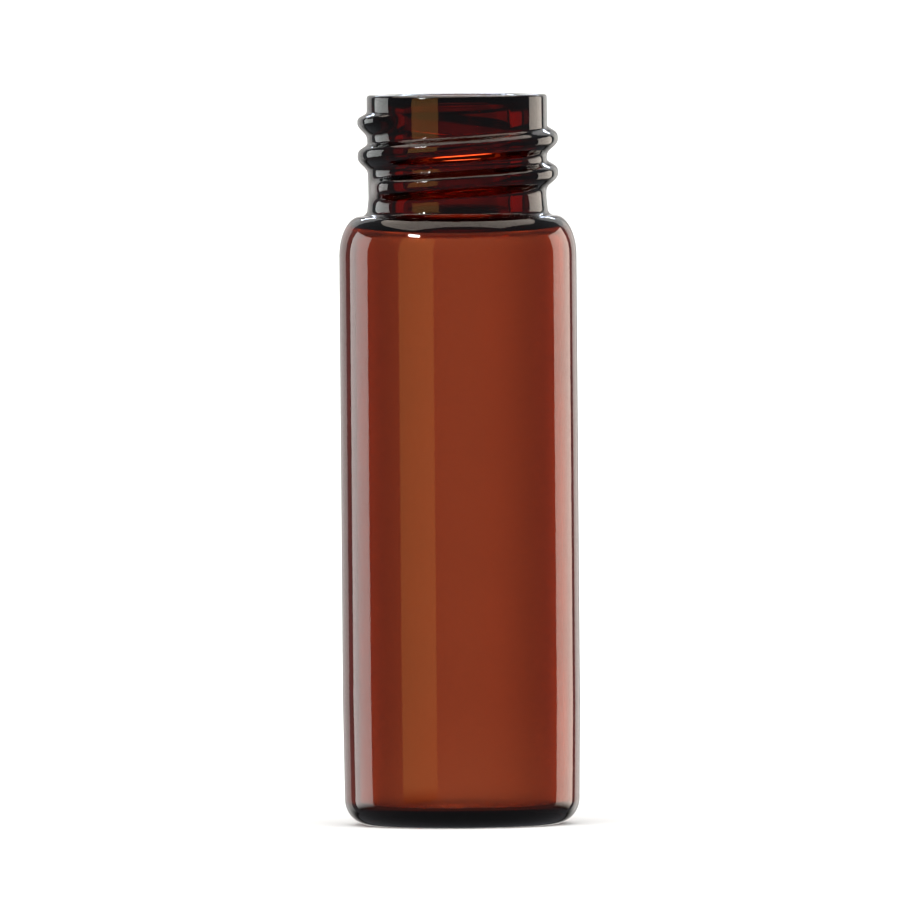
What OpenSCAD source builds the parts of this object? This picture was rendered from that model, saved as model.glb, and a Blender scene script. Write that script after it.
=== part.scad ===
// Screw-neck sample vial in amber glass, formed from one length of tubing.
// It stands on its base at z = 0, with its axis on Z. All sizes are in millimetres.

/* [Body] */
// Height from the resting ring to the lip
vial_h = 45.1; // [32:0.1:70]
// Outside diameter of the body
body_od = 14.66; // [13.6:0.02:20]
// Thickness of the body's wall
wall_t = 1; // [0.6:0.05:1.6]

/* [Base] */
// Radius of the heel, outside
heel_r = 1.6; // [0.8:0.1:2.2]
// How much smaller the body's radius is at the heel than further up
heel_draw = 0.08; // [0:0.02:0.3]
// Height above the heel over which the body widens to its full size
heel_draw_h = 6; // [2:0.5:12]
// Width of the flat ring that the vial stands on
ring_w = 0.6; // [0.3:0.1:1.5]
// Thickness of the glass in the base
base_t = 1.2; // [0.6:0.1:2.5]
// Rise of the underside, from the resting ring to the middle
punt_h = 0.4; // [0.1:0.05:1]
// Radius of the inside corner between floor and wall
floor_r = 0.4; // [0.2:0.1:2.5]

/* [Shoulder] */
// Height of the rounded shoulder, from the straight body to its top
shoulder_h = 2.5; // [1.2:0.1:4]
// Thickness of the glass in the shoulder
shoulder_t = 1; // [0.8:0.1:2]
// Width of the rounding between wall and ceiling, inside
ceiling_round = 0.5; // [0.2:0.05:1.1]
// Height of that rounding
ceiling_rise = 1; // [0.5:0.1:4]
// Radius of the hollow between shoulder and neck, outside
neck_fillet_r = 0.42; // [0.2:0.02:0.7]
// How much larger the neck's radius is at its foot
neck_flare = 0.07; // [0:0.01:0.2]
// Height over which the neck widens to its foot
neck_flare_h = 0.7; // [0.3:0.1:1.5]
// Radius where the bore opens into the body, inside
throat_r = 1.3; // [0.4:0.1:1.6]

/* [Neck] */
// Height of the neck, from the top of the shoulder to the lip
neck_h = 7.48; // [6.5:0.02:12]
// Outside diameter of the neck at the foot of the thread
neck_od = 11; // [10:0.02:12]
// Outside diameter of the lip
lip_od = 11.14; // [10:0.02:12]
// Diameter of the bore through the neck
neck_bore = 6.8; // [6:0.1:7.6]
// Height of the cylindrical part of the lip
lip_h = 1.7; // [1.2:0.1:3]
// Radius of the lip's outer edge
lip_outer_r = 0.22; // [0.1:0.02:0.35]
// Radius of the lip's inner edge
lip_inner_r = 1.2; // [0.4:0.05:1.4]

/* [Thread] */
// Diameter over the crests of the thread
thread_od = 12.38; // [11.8:0.02:13.6]
// Rise of the thread in one turn
thread_pitch = 2.117; // [1.6:0.001:2.6]
// Number of turns, from one end to the other
thread_turns = 2.13; // [1.2:0.01:2.3]
// Plain height between the lip's top and the thread
thread_band = 0.95; // [0.6:0.05:1.6]
// Drop from that plain height to the crest, at the top end
thread_drop = 0.46; // [0.3:0.02:1]
// Height of the upper flank, from crest to hidden foot, as a share of the pitch
flank_upper_share = 0.47; // [0.3:0.01:0.5]
// Height of the lower flank, as a share of the pitch
flank_lower_share = 0.61; // [0.4:0.01:0.65]
// Fullness of the crest's upper half, 1 being a plain wave
crest_upper_k = 1.9; // [0.8:0.05:2.2]
// Fullness of the crest's lower half
crest_lower_k = 1; // [0.8:0.05:2]
// How far the thread sits off the axis, towards +X
thread_shift = 0.04; // [0:0.01:0.15]
// Angle over which the crest sinks into the neck, at either end
thread_fade = 40; // [20:2:90]
// Direction of the top end, counter-clockwise from the X axis
thread_start = 238; // [0:1:360]

/* [Hidden] */
$fn = 96;

body_r = body_od / 2;
inner_r = body_r - wall_t;
heel_edge_r = body_r - heel_draw;
heel_centre_r = heel_edge_r - heel_r;
punt_r = heel_centre_r - ring_w;
neck_r = neck_od / 2;
lip_r = lip_od / 2;
bore_r = neck_bore / 2;

// Heights of the shoulder's top, outside and inside
shoulder_z = vial_h - neck_h;
ceiling_z = shoulder_z - shoulder_t;
// Radius at which the shoulder's rounding starts
shoulder_edge_r = neck_r + neck_flare + neck_fillet_r;

// Points on each quarter of a rounding
arc_steps = 10;
// Points on the shallow domes of floor and underside
dome_steps = 8;

// How deep the thread's foot and its hidden root lie in the neck
foot_sink = 0.3;
root_sink = 0.55;
// Share of each flank that is made: the rest of it, deep in the neck, is left out
flank_made = 0.84;
thread_r = thread_od / 2;
thread_top_z = vial_h - thread_band - thread_drop;
// Rings along the thread, and points across its crest
ring_angle = 9;
rings = ceil(360 * thread_turns / ring_angle);
crest_steps = 12;

// Points of an ellipse's arc, as [radius, height]
function ellipse_arc(centre, size, from, to) = [
    for (i = [0 : arc_steps])
        let (a = from + (to - from) * i / arc_steps)
            [centre.x + size.x * cos(a), centre.y + size.y * sin(a)]
];

// Points of a circle's arc, as [radius, height]
function arc(centre, r, from, to) = ellipse_arc(centre, [r, r], from, to);

// Points of a shallow spherical dome, from the axis out to its rim
function dome(rim_r, rim_z, rise) =
    let (ball_r = (rim_r * rim_r + rise * rise) / (2 * rise))
        [
            for (i = [0 : dome_steps])
                let (r = rim_r * i / dome_steps)
                    [r, rim_z + rise - ball_r + sqrt(ball_r * ball_r - r * r)]
        ];

// The same points in the opposite order
function reversed(points) = [for (i = [len(points) - 1 : -1 : 0]) points[i]];

// Outline of the outside, from the middle of the underside to the lip
function outside() = concat(
    dome(punt_r, 0, punt_h),
    arc([heel_centre_r, heel_r], heel_r, -90, 0),
    [[body_r, heel_r + heel_draw_h]],
    ellipse_arc(
        [shoulder_edge_r, shoulder_z - shoulder_h],
        [body_r - shoulder_edge_r, shoulder_h], 0, 90
    ),
    arc([shoulder_edge_r, shoulder_z + neck_fillet_r], neck_fillet_r, 270, 180),
    [
        [neck_r, shoulder_z + neck_fillet_r + neck_flare_h],
        [lip_r, vial_h - lip_h]
    ],
    arc([lip_r - lip_outer_r, vial_h - lip_outer_r], lip_outer_r, 0, 90)
);

// Outline of the inside, from the lip down to the middle of the floor
function inside() = concat(
    arc([bore_r + lip_inner_r, vial_h - lip_inner_r], lip_inner_r, 90, 180),
    arc([bore_r + throat_r, ceiling_z + throat_r], throat_r, 180, 270),
    ellipse_arc(
        [inner_r - ceiling_round, ceiling_z - ceiling_rise],
        [ceiling_round, ceiling_rise], 90, 0
    ),
    arc([inner_r - floor_r, base_t + floor_r], floor_r, 0, -90),
    reversed(dome(inner_r - floor_r, base_t, punt_h))
);

// Share of the full height that the crest has, at an angle from the nearer end
function crest_share(angle) = sin(90 * min(1, angle / thread_fade));

// Share of the crest's height across the ridge, from its lower foot (-1) to its upper (1)
function swell(u) =
    (1 + cos(180 * pow(abs(u), u > 0 ? crest_upper_k : crest_lower_k))) / 2;

// One ring of the thread's ridge: the points over its crest, then two hidden in the neck.
// The upper flank stays below the plain band under the lip.
function ridge_ring(turned) =
    let (
        direction = thread_start - turned,
        z = thread_top_z - thread_pitch * turned / 360,
        upper_h = min(flank_upper_share * thread_pitch, vial_h - thread_band - z),
        lower_h = flank_lower_share * thread_pitch,
        share = crest_share(min(turned, 360 * thread_turns - turned)),
        crest_r = thread_r + thread_shift * cos(direction),
        height = (crest_r - neck_r + foot_sink) * share,
        across = [for (i = [0 : crest_steps]) flank_made * (2 * i / crest_steps - 1)],
        crest = [
            for (u = across)
                [neck_r - foot_sink + height * swell(u), u]
        ],
        hidden = [
            [neck_r - root_sink, flank_made],
            [neck_r - root_sink, -flank_made]
        ]
    )
        [
            for (p = concat(crest, hidden))
                [
                    p.x * cos(direction),
                    p.x * sin(direction),
                    z + p.y * (p.y > 0 ? upper_h : lower_h)
                ]
        ];

// The ridge of the thread, a right-hand helix that fades into the neck at both ends
module thread_ridge() {
    per_ring = crest_steps + 3;
    points = [
        for (i = [0 : rings])
            each ridge_ring(360 * thread_turns * i / rings)
    ];
    sides = [
        for (i = [0 : rings - 1])
            for (j = [0 : per_ring - 1])
                let (
                    next = (j + 1) % per_ring,
                    a = i * per_ring + j,
                    b = i * per_ring + next
                )
                    each [[a, a + per_ring, b], [b, a + per_ring, b + per_ring]]
    ];
    // Each end is a fan about the hidden corner below the foot
    fan = per_ring - 1;
    last = rings * per_ring;
    ends = [
        for (j = [0 : per_ring - 3])
            each [[fan, j, j + 1], [last + fan, last + j + 1, last + j]]
    ];
    polyhedron(points = points, faces = concat(sides, ends));
}

// The whole vial: one wall of glass turned about the axis, with the thread on its neck
module vial() {
    color("#7f3a1f") {
        rotate_extrude()
            polygon(concat(outside(), inside()));
        thread_ridge();
    }
}

vial();
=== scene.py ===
"""Amber glass screw-neck sample vial, and the small studio that it stands in."""

import math

import bpy
import numpy as np
from mathutils import Euler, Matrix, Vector


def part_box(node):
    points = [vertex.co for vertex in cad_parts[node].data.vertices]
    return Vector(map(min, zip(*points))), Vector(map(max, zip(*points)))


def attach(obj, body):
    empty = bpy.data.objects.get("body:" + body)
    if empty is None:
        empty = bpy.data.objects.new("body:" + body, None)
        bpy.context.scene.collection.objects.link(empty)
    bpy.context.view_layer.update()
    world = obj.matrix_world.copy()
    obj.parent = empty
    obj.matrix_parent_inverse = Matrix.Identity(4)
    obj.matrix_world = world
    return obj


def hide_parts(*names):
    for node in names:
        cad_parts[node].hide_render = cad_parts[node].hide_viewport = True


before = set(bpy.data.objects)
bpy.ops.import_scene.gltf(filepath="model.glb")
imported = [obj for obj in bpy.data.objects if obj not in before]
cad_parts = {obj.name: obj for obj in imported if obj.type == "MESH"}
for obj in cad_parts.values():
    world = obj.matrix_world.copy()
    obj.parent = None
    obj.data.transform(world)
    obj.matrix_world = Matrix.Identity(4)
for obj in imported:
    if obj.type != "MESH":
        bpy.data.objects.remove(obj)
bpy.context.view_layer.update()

bl_info = {
    "name": "Amber Sample Vial",
    "version": (1, 0, 0),
    "blender": (4, 5, 0),
    "location": "View3D > Sidebar > Vial",
    "description": "A screw-neck sample vial in amber tubing glass, with its studio",
    "category": "Add Mesh",
}

MM = 0.001
VIAL_LOW, VIAL_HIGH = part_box("vial")
VIAL_MIDDLE = (VIAL_LOW + VIAL_HIGH) / 2

# Points around the vial, and the longest steps along its outline: fine on the neck,
# where the thread is, and coarse elsewhere
SEGMENTS = 288
COARSE_STEP = 1.2 * MM
FINE_STEP = 0.075 * MM
# Height within which two points of the outline count as level
LEVEL = 1e-9
# Plain glass between the thread's reach and the rounding of the lip
LIP_MARGIN = 0.01 * MM


def linear(hex_colour):
    """The linear red, green and blue of an sRGB hex colour."""
    channels = [int(hex_colour[i : i + 2], 16) / 255 for i in (1, 3, 5)]
    return tuple(
        c / 12.92 if c <= 0.04045 else ((c + 0.055) / 1.055) ** 2.4 for c in channels
    )


def length(name, description, millimetres):
    """A size in metres that shows in the scene's own unit."""
    return bpy.props.FloatProperty(
        name=name,
        description=description,
        default=millimetres * MM,
        min=0.0,
        precision=5,
        unit="LENGTH",
        subtype="DISTANCE",
    )


def colour(name, description, hex_colour):
    """A colour, given in sRGB hex."""
    return bpy.props.FloatVectorProperty(
        name=name,
        description=description,
        default=linear(hex_colour),
        min=0.0,
        max=1.0,
        subtype="COLOR",
    )


def number(name, description, default, **limits):
    """A plain number, such as a share, a count or a refractive index."""
    return bpy.props.FloatProperty(
        name=name, description=description, default=default, **limits
    )


class VialSizes(bpy.types.PropertyGroup):
    """Sizes of the formed glass, the same ones as in its construction."""

    height: length("Height", "Resting ring to lip", VIAL_HIGH.z / MM)
    body_diameter: length("Body diameter", "Outside of the tubing", 14.66)
    wall: length("Wall", "Wall of the drawn tubing", 1.0)
    heel_radius: length("Heel radius", "Corner between base and body", 1.6)
    heel_draw: length("Heel draw", "How much the body narrows at the heel", 0.08)
    heel_draw_height: length("Heel draw height", "Height of that narrowing", 6.0)
    ring_width: length("Ring width", "Width of the ring that it rests on", 0.6)
    base_thickness: length("Base thickness", "Floor of the vial at its rim", 1.2)
    punt: length("Punt", "Rise of the base in its middle", 0.4)
    floor_radius: length("Floor radius", "Corner between floor and wall", 0.4)
    shoulder_height: length("Shoulder height", "Height of the outer shoulder", 2.5)
    shoulder_thickness: length("Shoulder thickness", "Glass under the neck", 1.0)
    neck_fillet: length("Neck fillet", "Outer corner of neck and shoulder", 0.42)
    neck_flare: length("Neck flare", "How much the neck widens at its foot", 0.07)
    neck_flare_height: length("Neck flare height", "Height of that flare", 0.7)
    ceiling_round: length("Ceiling round", "Corner under the shoulder, width", 0.5)
    ceiling_rise: length("Ceiling rise", "Corner under the shoulder, height", 1.0)
    throat_radius: length("Throat radius", "Inner corner of bore and shoulder", 1.3)
    neck_height: length("Neck height", "Shoulder to lip", 7.48)
    neck_diameter: length("Neck diameter", "Neck at the root of the thread", 11.0)
    lip_diameter: length("Lip diameter", "Plain band above the thread", 11.14)
    neck_bore: length("Neck bore", "Inside of the neck", 6.8)
    lip_height: length("Lip height", "Height of the straight lip", 1.7)
    lip_outer_radius: length("Lip outer radius", "Fire-polished outer edge", 0.22)
    lip_inner_radius: length("Lip inner radius", "Fire-polished inner edge", 1.2)
    thread_diameter: length("Thread diameter", "Across the thread's crest", 12.38)
    thread_pitch: length("Thread pitch", "Rise in one turn", 2.117)
    thread_turns: number("Thread turns", "Length of the thread in turns", 2.13)
    thread_band: length("Thread band", "Plain glass above the thread", 0.95)
    thread_drop: length("Thread drop", "From there to the first crest", 0.46)
    thread_upper: length("Upper flank", "Crest to hidden foot, upwards", 0.995)
    thread_lower: length("Lower flank", "Crest to hidden foot, downwards", 1.29)
    crest_upper: number("Upper fullness", "Fullness of the crest, upwards", 1.9)
    crest_lower: number("Lower fullness", "Fullness of the crest, downwards", 1.0)
    thread_root: length("Root fillet", "Hollow at the foot of each flank", 0.3)
    thread_shift: length("Thread shift", "How far the thread sits off the axis", 0.04)
    thread_fade: bpy.props.FloatProperty(
        name="Thread fade",
        description="Turn over which the thread dies out at each end",
        default=math.radians(40),
        unit="ROTATION",
        subtype="ANGLE",
    )
    thread_start: bpy.props.FloatProperty(
        name="Thread start",
        description="Direction of the thread's top end",
        default=math.radians(238),
        unit="ROTATION",
        subtype="ANGLE",
    )


class GlassFinish(bpy.types.PropertyGroup):
    """Colour and surface of the amber tubing glass."""

    amber: colour("Amber", "Light that the glass lets through", "#DC9215")
    depth: number("Depth", "Absorption per metre of glass", 2200.0, min=0.0)
    surface: colour("Surface", "Tint of the surface itself", "#FFFFFF")
    ior: number("IOR", "Refractive index of borosilicate tubing", 1.49, min=1.0)
    skin: number("Skin roughness", "Fire-polished outside", 0.01, min=0.0, max=1.0)
    bore_haze: number(
        "Inside roughness", "Haze left inside by forming", 0.22, min=0.0, max=1.0
    )


class StudioSettings(bpy.types.PropertyGroup):
    """Floor, lamps and camera."""

    camera_distance: length("Camera distance", "From the vial's axis", 1600.0)
    camera_height: length("Camera height", "Above the floor", 70.0)
    frame_width: length("Frame width", "Width that the picture takes in", 56.79)
    camera_roll: bpy.props.FloatProperty(
        name="Camera roll",
        description="Lean of the camera, which makes the vial lean in the picture",
        default=math.radians(0.46),
        unit="ROTATION",
        subtype="ANGLE",
    )
    aim_right: length("Aim, right", "From the vial's middle to the picture's", 0.027)
    aim_down: length("Aim, down", "The same, downwards", 0.032)
    floor_colour: colour("Floor colour", "Matt white board", "#F7F7F5")
    room: number("Room light", "Even light on the floor", 1.5, min=0.0)
    lamps: number("Lamps", "Strength of all lamps together", 1.0, min=0.0)


# ---------------------------------------------------------------- glass shape


def arc(centre, size, start, end, steps=12):
    """Points of an ellipse's arc as (radius, height), its ends included."""
    turn = np.radians(np.linspace(start, end, steps + 1))
    return [
        (centre[0] + size[0] * math.cos(a), centre[1] + size[1] * math.sin(a))
        for a in turn
    ]


def dome(rim, height, rise, steps=10):
    """Points of a spherical cap from its top on the axis to its rim."""
    sphere = (rim**2 + rise**2) / (2 * rise)
    return [
        (r, height + rise - sphere + math.sqrt(sphere**2 - r**2))
        for r in np.linspace(0, rim, steps + 1)
    ]


def fill_line(points, step):
    """The same outline, with no two neighbours further apart than step."""
    filled = [points[0]]
    for (r0, z0), (r1, z1) in zip(points, points[1:]):
        count = max(1, math.ceil(math.hypot(r1 - r0, z1 - z0) / step))
        filled += [
            (r0 + (r1 - r0) * i / count, z0 + (z1 - z0) * i / count)
            for i in range(1, count + 1)
        ]
    return filled


def glass_outline(s):
    """Outer and inner outline of the glass, each from the bottom's middle up."""
    body, bore = s.body_diameter / 2, s.neck_bore / 2
    inner, neck, lip = body - s.wall, s.neck_diameter / 2, s.lip_diameter / 2
    heel = body - s.heel_draw - s.heel_radius
    shoulder = s.height - s.neck_height
    ceiling = shoulder - s.shoulder_thickness
    shoulder_edge = neck + s.neck_flare + s.neck_fillet
    ceiling_edge = bore + s.throat_radius
    outer = dome(heel - s.ring_width, 0, s.punt)
    outer += arc((heel, s.heel_radius), (s.heel_radius,) * 2, -90, 0)
    outer += [(body, s.heel_radius + s.heel_draw_height)]
    outer += arc(
        (shoulder_edge, shoulder - s.shoulder_height),
        (body - shoulder_edge, s.shoulder_height),
        0,
        90,
        steps=24,
    )
    outer += arc(
        (shoulder_edge, shoulder + s.neck_fillet),
        (s.neck_fillet,) * 2,
        270,
        180,
        steps=10,
    )[1:]
    outer += [(neck, shoulder + s.neck_fillet + s.neck_flare_height)]
    outer += [(lip, s.height - s.lip_height)]
    outer += arc(
        (lip - s.lip_outer_radius, s.height - s.lip_outer_radius),
        (s.lip_outer_radius,) * 2,
        0,
        90,
        steps=8,
    )
    within = dome(inner - s.floor_radius, s.base_thickness, s.punt)
    within += arc(
        (inner - s.floor_radius, s.base_thickness + s.floor_radius),
        (s.floor_radius,) * 2,
        -90,
        0,
    )[1:]
    within += arc(
        (inner - s.ceiling_round, ceiling - s.ceiling_rise),
        (s.ceiling_round, s.ceiling_rise),
        0,
        90,
        steps=24,
    )
    within += arc(
        (ceiling_edge, ceiling + s.throat_radius), (s.throat_radius,) * 2, 270, 180
    )
    within += arc(
        (bore + s.lip_inner_radius, s.height - s.lip_inner_radius),
        (s.lip_inner_radius,) * 2,
        180,
        90,
    )
    return outer, within


def thread_radius(s, angle, z):
    """Radius of the moulded thread at each angle and height, or 0 where it isn't."""
    neck, crest = s.neck_diameter / 2, s.thread_diameter / 2
    sink = s.thread_root
    top = s.height - s.thread_band - s.thread_drop
    full_turn = 2 * math.pi
    length_turned = s.thread_turns * full_turn
    radius = np.zeros(np.broadcast(angle, z).shape)
    for turn in range(math.ceil(s.thread_turns) + 1):
        turned = np.mod(s.thread_start - angle, full_turn) + turn * full_turn
        along = np.clip(np.minimum(turned, length_turned - turned), 0, None)
        share = np.sin(np.minimum(1, along / s.thread_fade) * math.pi / 2)
        centre = top - s.thread_pitch * turned / full_turn
        upper = np.minimum(s.thread_upper, s.height - s.thread_band - centre)
        above = z > centre
        across = np.abs(z - centre) / np.where(above, upper, s.thread_lower)
        fullness = np.where(above, s.crest_upper, s.crest_lower)
        swell = (1 + np.cos(np.pi * np.clip(across, 0, 1) ** fullness)) / 2
        rise = crest + s.thread_shift * np.cos(angle) - neck + sink
        radius = np.maximum(radius, neck - sink + rise * share * swell)
    return radius


def soft_larger(a, b, blend):
    """The larger of two radii, with a small fillet where they are nearly equal."""
    near = np.clip(1 - np.abs(a - b) / blend, 0, None)
    return np.maximum(a, b) + near**2 * blend / 4


def revolve(name, rings, segments, radius_at):
    """A closed mesh from rings of (radius, height), whose two ends are on the axis."""
    angle = np.linspace(0, 2 * math.pi, segments, endpoint=False)
    radii, heights = np.array(rings[1:-1]).T
    radii = radius_at(angle[None, :], radii[:, None], heights[:, None])
    grid = np.stack(
        [
            radii * np.cos(angle),
            radii * np.sin(angle),
            np.broadcast_to(heights[:, None], radii.shape),
        ],
        axis=-1,
    ).reshape(-1, 3)
    first, last = len(grid), len(grid) + 1
    points = np.vstack([grid, [(0, 0, rings[0][1]), (0, 0, rings[-1][1])]])
    count = len(heights)
    here = np.arange(segments)
    after = (here + 1) % segments
    faces = [
        (low + a, low + b, low + segments + b, low + segments + a)
        for low in range(0, (count - 1) * segments, segments)
        for a, b in zip(here, after)
    ]
    faces += [(first, b, a) for a, b in zip(here, after)]
    top = (count - 1) * segments
    faces += [(top + a, top + b, last) for a, b in zip(here, after)]
    mesh = bpy.data.meshes.new(name)
    mesh.from_pydata(
        [tuple(map(float, p)) for p in points], [], [tuple(map(int, f)) for f in faces]
    )
    mesh.validate()
    mesh.shade_smooth()
    piece = bpy.data.objects.new(name, mesh)
    bpy.context.scene.collection.objects.link(piece)
    return piece


# ---------------------------------------------------------------- materials


def add_node(tree, kind, links=(), **settings):
    """Adds a node. Settings that name a socket go to it, others to the node itself.
    Each link is (output socket, name or number of this node's input)."""
    node = tree.nodes.new(kind)
    for key, value in settings.items():
        socket = node.inputs.get(key.replace("_", " "))
        if socket is not None:
            socket.default_value = value
        else:
            setattr(node, key, value)
    for source, target in links:
        tree.links.new(source, node.inputs[target])
    return node


def new_material(name):
    """An empty node material and its tree."""
    material = bpy.data.materials.new(name)
    material.use_nodes = True
    material.node_tree.nodes.clear()
    return material, material.node_tree


def amber_tubing_glass(finish):
    """Amber borosilicate glass, drawn as tubing and then flame-worked.
    The colour is in the depth of the glass, so thin walls are orange-brown and the
    thick base and neck are nearly black. The outside is smooth and clear, with faint
    lengthwise lines from the drawing that make its reflections waver a little. The
    inside of the body has a soft, uneven haze, which blurs what is mirrored in it."""
    line_width, line_length, line_depth = 0.9 * MM, 40 * MM, 0.0006 * MM
    haze_patch = 5 * MM
    haze_least, haze_most = 0.5 * finish.bore_haze, 1.5 * finish.bore_haze
    material, tree = new_material("amber_borosilicate_fire_polished")
    place = add_node(tree, "ShaderNodeTexCoord")
    lengthwise = add_node(
        tree,
        "ShaderNodeMapping",
        [(place.outputs["Object"], "Vector")],
        Scale=(1 / line_width, 1 / line_width, 1 / line_length),
    )
    draw_lines = add_node(
        tree,
        "ShaderNodeTexNoise",
        [(lengthwise.outputs["Vector"], "Vector")],
        Scale=1.0,
        Detail=2.0,
    )
    bump = add_node(
        tree,
        "ShaderNodeBump",
        [(draw_lines.outputs["Fac"], "Height")],
        Strength=1.0,
        Distance=line_depth,
    )
    haze = add_node(
        tree,
        "ShaderNodeTexNoise",
        [(place.outputs["Object"], "Vector")],
        Scale=1 / haze_patch,
        Detail=3.0,
    )
    outside = add_node(
        tree, "ShaderNodeMapRange", [(haze.outputs["Fac"], "Value")], To_Max=finish.skin
    )
    inside = add_node(
        tree,
        "ShaderNodeMapRange",
        [(haze.outputs["Fac"], "Value")],
        To_Min=haze_least,
        To_Max=haze_most,
    )
    side = add_node(tree, "ShaderNodeAttribute", attribute_name="inside")
    roughness = add_node(
        tree,
        "ShaderNodeMapRange",
        [
            (side.outputs["Fac"], "Value"),
            (outside.outputs["Result"], "To Min"),
            (inside.outputs["Result"], "To Max"),
        ],
    )
    glass = add_node(
        tree,
        "ShaderNodeBsdfPrincipled",
        [
            (bump.outputs["Normal"], "Normal"),
            (roughness.outputs["Result"], "Roughness"),
        ],
        Base_Color=(*finish.surface, 1),
        IOR=finish.ior,
        Transmission_Weight=1.0,
    )
    depth = add_node(
        tree,
        "ShaderNodeVolumeAbsorption",
        Color=(*finish.amber, 1),
        Density=finish.depth,
    )
    add_node(
        tree,
        "ShaderNodeOutputMaterial",
        [(glass.outputs["BSDF"], "Surface"), (depth.outputs["Volume"], "Volume")],
    )
    return material


def matt_board(colour_value):
    """Matt white painted board, a plain pale floor with a faint grain, which keeps
    the soft shadow at the vial's foot free of shine."""
    grain_width, grain_depth = 0.8 * MM, 0.01 * MM
    material, tree = new_material("matt_white_board")
    place = add_node(tree, "ShaderNodeTexCoord")
    grain = add_node(
        tree,
        "ShaderNodeTexNoise",
        [(place.outputs["Object"], "Vector")],
        Scale=1 / grain_width,
        Detail=3.0,
    )
    bump = add_node(
        tree,
        "ShaderNodeBump",
        [(grain.outputs["Fac"], "Height")],
        Strength=0.2,
        Distance=grain_depth,
    )
    board = add_node(
        tree,
        "ShaderNodeBsdfDiffuse",
        [(bump.outputs["Normal"], "Normal")],
        Color=(*colour_value, 1),
        Roughness=0.6,
    )
    add_node(
        tree, "ShaderNodeOutputMaterial", [(board.outputs["BSDF"], "Surface")]
    )
    return material


def diffuser(name, colours, strength, fade_share):
    """White diffuser cloth, lit from behind, which gives the glass its soft-edged
    highlights. Its glow runs through the given colours from the left to the right,
    and may fade out towards its foot."""
    no_fade = 0.001
    material, tree = new_material(name)
    place = add_node(tree, "ShaderNodeTexCoord")
    split = add_node(
        tree, "ShaderNodeSeparateXYZ", [(place.outputs["Generated"], "Vector")]
    )
    across = add_node(tree, "ShaderNodeValToRGB", [(split.outputs["X"], "Fac")])
    ramp = across.color_ramp
    ramp.interpolation = "B_SPLINE"
    while len(ramp.elements) < len(colours):
        ramp.elements.new(0.5)
    for i, hex_colour in enumerate(colours):
        ramp.elements[i].position = i / (len(colours) - 1)
        ramp.elements[i].color = (*linear(hex_colour), 1)
    fade = add_node(
        tree,
        "ShaderNodeMapRange",
        [(split.outputs["Z"], "Value")],
        From_Max=max(fade_share, no_fade),
        To_Max=strength,
        interpolation_type="SMOOTHSTEP",
    )
    glow = add_node(
        tree,
        "ShaderNodeEmission",
        [(fade.outputs["Result"], "Strength"), (across.outputs["Color"], "Color")],
    )
    add_node(
        tree, "ShaderNodeOutputMaterial", [(glow.outputs["Emission"], "Surface")]
    )
    return material


# ---------------------------------------------------------------- operators


class VIAL_OT_glass(bpy.types.Operator):
    """Form the vial: tubing body, shoulder, neck with its moulded thread, and base"""

    bl_idname = "vial.glass"
    bl_label = "Glass vial"

    def execute(self, context):
        s = context.scene.vial_sizes
        outer, within = glass_outline(s)
        neck_foot = s.height - s.neck_height + s.neck_fillet
        lip_rounding = s.height - s.lip_outer_radius - LIP_MARGIN
        below = [p for p in outer if p[1] <= neck_foot + LEVEL]
        above = [p for p in outer if p[1] > neck_foot + LEVEL]
        rings = fill_line(below, COARSE_STEP)
        rings += fill_line([rings[-1]] + above, FINE_STEP)[1:]
        outside_rows = len(rings)
        rings += fill_line(within[::-1], COARSE_STEP)

        def radius_at(angle, radius, z):
            rows = np.arange(radius.shape[0])[:, None] + 1
            on_neck = (rows < outside_rows) & (z > neck_foot) & (z <= lip_rounding)
            threaded = soft_larger(radius, thread_radius(s, angle, z), s.thread_root)
            return np.where(on_neck, threaded, radius)

        vial = revolve("amber_glass_vial", rings, SEGMENTS, radius_at)
        # The haze is on the inside, up to the ceiling under the neck. The last two
        # points are the middles of the underside and of the floor.
        ring_of_point = np.arange(len(vial.data.vertices)) // SEGMENTS + 1
        heights = np.array([point.co.z for point in vial.data.vertices])
        below_neck = heights < s.height - s.neck_height - s.shoulder_thickness
        hazed = (ring_of_point >= outside_rows) & below_neck
        inside = np.where(hazed, 1.0, 0.0)
        inside[-2:] = 0.0, 1.0
        layer = vial.data.attributes.new("inside", "FLOAT", "POINT")
        layer.data.foreach_set("value", inside)
        vial.data.materials.append(amber_tubing_glass(context.scene.vial_glass))
        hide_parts("vial")
        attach(vial, "root")
        return {"FINISHED"}


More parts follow.
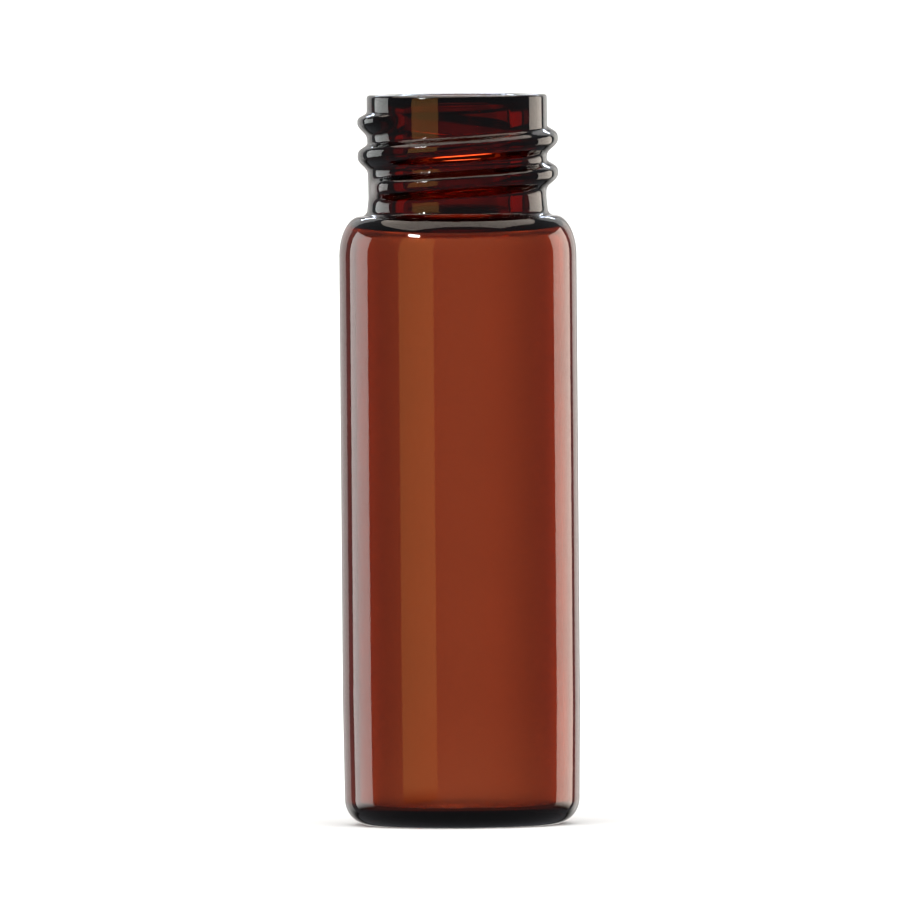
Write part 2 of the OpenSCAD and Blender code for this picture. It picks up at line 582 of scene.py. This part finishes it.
# Each lamp: name, distance in metres, bearing from straight behind (right is plus)
# from and to, elevation from and to, share of its height that fades out at the foot,
# radiance, and its colours from left to right. Of two lamps in one direction, the
# nearer one shows.
LAMPS = (
    ("backlight", 1.0, -38.9, -16, -22, 18, 0.34, 0.86, "#FFFDFA", "#FFFDFA"),
    (
        "backlight_middle", 1.0, -16, 17, -22, 18, 0.34, 0.95,
        "#F4F2EF", "#C8C4C1", "#CCC8C5", "#FFFDFA",
        "#FFFDFA", "#D2CFCC", "#CECBC8", "#F4F2EF",
    ),
    ("backlight_edge", 1.0, 17, 33.5, -22, 18, 0.34, 1.25, "#FFFCF6", "#FFFCF6"),
    ("left_softbox", 1.0, -81, -49.8, -20, 22, 0.35, 3.05, "#FAFFFD", "#FAFFFD"),
    ("right_softbox", 1.0, 41, 73.5, -20, 22, 0.35, 3.3, "#FFF3E6", "#FFF3E6"),
    ("left_wing", 1.0, -36, -12, 18, 40, 0.0, 0.9, "#FFFFFF", "#FFFFFF"),
    ("right_wing", 1.0, 12, 36, 18, 40, 0.0, 0.9, "#FFFFFF", "#FFFFFF"),
    ("warm_reflector", 1.0, -156, -120, -9, 30, 0.1, 1.5, "#FFBE7C", "#FFBE7C"),
    ("hair_light", 0.9, -20, 20, 25.2, 27.2, 0.0, 22.0, "#E0EAFF", "#E0EAFF"),
    ("key_lamp", 0.9, -138, -124, 32.5, 37, 0.0, 90.0, "#FFFFFF", "#FFFFFF"),
    ("room", 1.4, -180, 180, -90, 90, 0.0, 0.16, "#F4F6FF", "#F4F6FF"),
)

# Corners of the overhead softbox, in metres to the right and to the back, its height
# above the vial's middle, radiance and colour
OVERHEAD = (
    (-0.85, -0.55), (0.7, -0.42), (0.85, 0.15), (0.95, 1.4), (1.0, 2.0), (-1.3, 2.0),
    (-1.25, 0.5), (-1.2, -0.15),
)
OVERHEAD_HEIGHT = 1.0
OVERHEAD_RADIANCE = 2.4
OVERHEAD_COLOUR = "#FFF1E4"
# Columns and rows of faces in each curved lamp
LAMP_GRID = (24, 12)
# Half the side of the floor, in metres
FLOOR_REACH = 6.0
# Width of the camera's sensor, in millimetres
SENSOR_WIDTH = 36.0


class VIAL_OT_studio(bpy.types.Operator):
    """Set up the floor, the diffusers around the vial and the camera"""

    bl_idname = "vial.studio"
    bl_label = "Studio"

    def execute(self, context):
        t = context.scene.vial_studio
        self.add_camera(context, t)
        self.add_floor(context, t)
        rig = bpy.data.objects.new("lamp_rig", None)
        context.scene.collection.objects.link(rig)
        rig.location = VIAL_MIDDLE
        aim = rig.constraints.new("TRACK_TO")
        aim.target = context.scene.camera
        aim.track_axis = "TRACK_NEGATIVE_Y"
        aim.up_axis = "UP_Z"
        for row in LAMPS:
            self.add_lamp(rig, *row)
        corners = [(x, y, OVERHEAD_HEIGHT) for x, y in OVERHEAD]
        face = [tuple(range(len(corners)))]
        glow = (0.0, OVERHEAD_RADIANCE, OVERHEAD_COLOUR, OVERHEAD_COLOUR)
        self.add_card(rig, "top_softbox", corners, face, *glow)
        world = bpy.data.worlds.new("room")
        context.scene.world = world
        world.use_nodes = True
        background = world.node_tree.nodes["Background"].inputs
        background["Strength"].default_value = t.room
        background["Color"].default_value = (1, 1, 1, 1)
        world.cycles_visibility.glossy = False
        world.cycles_visibility.transmission = False
        context.scene.view_settings.view_transform = "Standard"
        return {"FINISHED"}

    def add_camera(self, context, t):
        data = bpy.data.cameras.new("camera")
        camera = bpy.data.objects.new("camera", data)
        context.scene.collection.objects.link(camera)
        context.scene.camera = camera
        data.sensor_width = SENSOR_WIDTH
        data.lens = SENSOR_WIDTH * t.camera_distance / t.frame_width
        data.clip_start, data.clip_end = 0.1, 20.0
        camera.location = (0, -t.camera_distance, t.camera_height)
        target = VIAL_MIDDLE + Vector((t.aim_right, 0, -t.aim_down))
        aim = (target - camera.location).to_track_quat("-Z", "Y").to_euler()
        roll = Euler((0, 0, -t.camera_roll))
        camera.rotation_euler = (aim.to_matrix() @ roll.to_matrix()).to_euler()

    def add_floor(self, context, t):
        mesh = bpy.data.meshes.new("floor")
        corners = [
            (x * FLOOR_REACH, y * FLOOR_REACH, 0)
            for x, y in ((-1, -1), (1, -1), (1, 1), (-1, 1))
        ]
        mesh.from_pydata(corners, [], [(0, 1, 2, 3)])
        floor = bpy.data.objects.new("floor", mesh)
        context.scene.collection.objects.link(floor)
        mesh.materials.append(matt_board(t.floor_colour))
        floor.visible_glossy = False
        floor.visible_transmission = False
        floor.visible_shadow = False

    def add_lamp(self, rig, name, distance, left, right, low, high, *glow):
        """A curved diffuser around the vial, between two bearings and elevations."""
        columns, rows = LAMP_GRID
        across = np.radians(np.linspace(left, right, columns + 1))
        up = np.radians(np.linspace(low, high, rows + 1))
        points = [
            (
                distance * math.cos(e) * math.sin(b),
                distance * math.cos(e) * math.cos(b),
                distance * math.sin(e),
            )
            for e in up
            for b in across
        ]
        n = len(across)
        faces = [
            (i * n + j, i * n + j + 1, (i + 1) * n + j + 1, (i + 1) * n + j)
            for i in range(rows)
            for j in range(columns)
        ]
        self.add_card(rig, name, points, faces, *glow)

    def add_card(self, rig, name, points, faces, fade, strength, *colours):
        """A glowing card that turns with the camera and that only the glass sees."""
        scene = bpy.context.scene
        mesh = bpy.data.meshes.new(name)
        mesh.from_pydata(points, [], faces)
        lamp = bpy.data.objects.new(name, mesh)
        scene.collection.objects.link(lamp)
        strength *= scene.vial_studio.lamps
        mesh.materials.append(diffuser(name + "_cloth", colours, strength, fade))
        lamp.parent = rig
        lamp.visible_camera = False
        lamp.visible_diffuse = False
        lamp.visible_shadow = False


class VIAL_PT_panel(bpy.types.Panel):
    """Sizes, glass and studio of the vial"""

    bl_idname = "VIAL_PT_panel"
    bl_label = "Amber sample vial"
    bl_space_type = "VIEW_3D"
    bl_region_type = "UI"
    bl_category = "Vial"

    def draw(self, context):
        scene = context.scene
        for operator, group in (
            ("vial.glass", scene.vial_sizes),
            (None, scene.vial_glass),
            ("vial.studio", scene.vial_studio),
        ):
            box = self.layout.box()
            for name in group.__annotations__:
                box.prop(group, name)
            if operator:
                box.operator(operator)


CLASSES = (
    VialSizes,
    GlassFinish,
    StudioSettings,
    VIAL_OT_glass,
    VIAL_OT_studio,
    VIAL_PT_panel,
)
GROUPS = {
    "vial_sizes": VialSizes,
    "vial_glass": GlassFinish,
    "vial_studio": StudioSettings,
}


def register():
    for cls in CLASSES:
        bpy.utils.register_class(cls)
    for name, group in GROUPS.items():
        setattr(bpy.types.Scene, name, bpy.props.PointerProperty(type=group))


def unregister():
    for name in GROUPS:
        delattr(bpy.types.Scene, name)
    for cls in reversed(CLASSES):
        bpy.utils.unregister_class(cls)


def main():
    register()
    bpy.ops.vial.glass()
    bpy.ops.vial.studio()


if __name__ == "__main__":
    main()
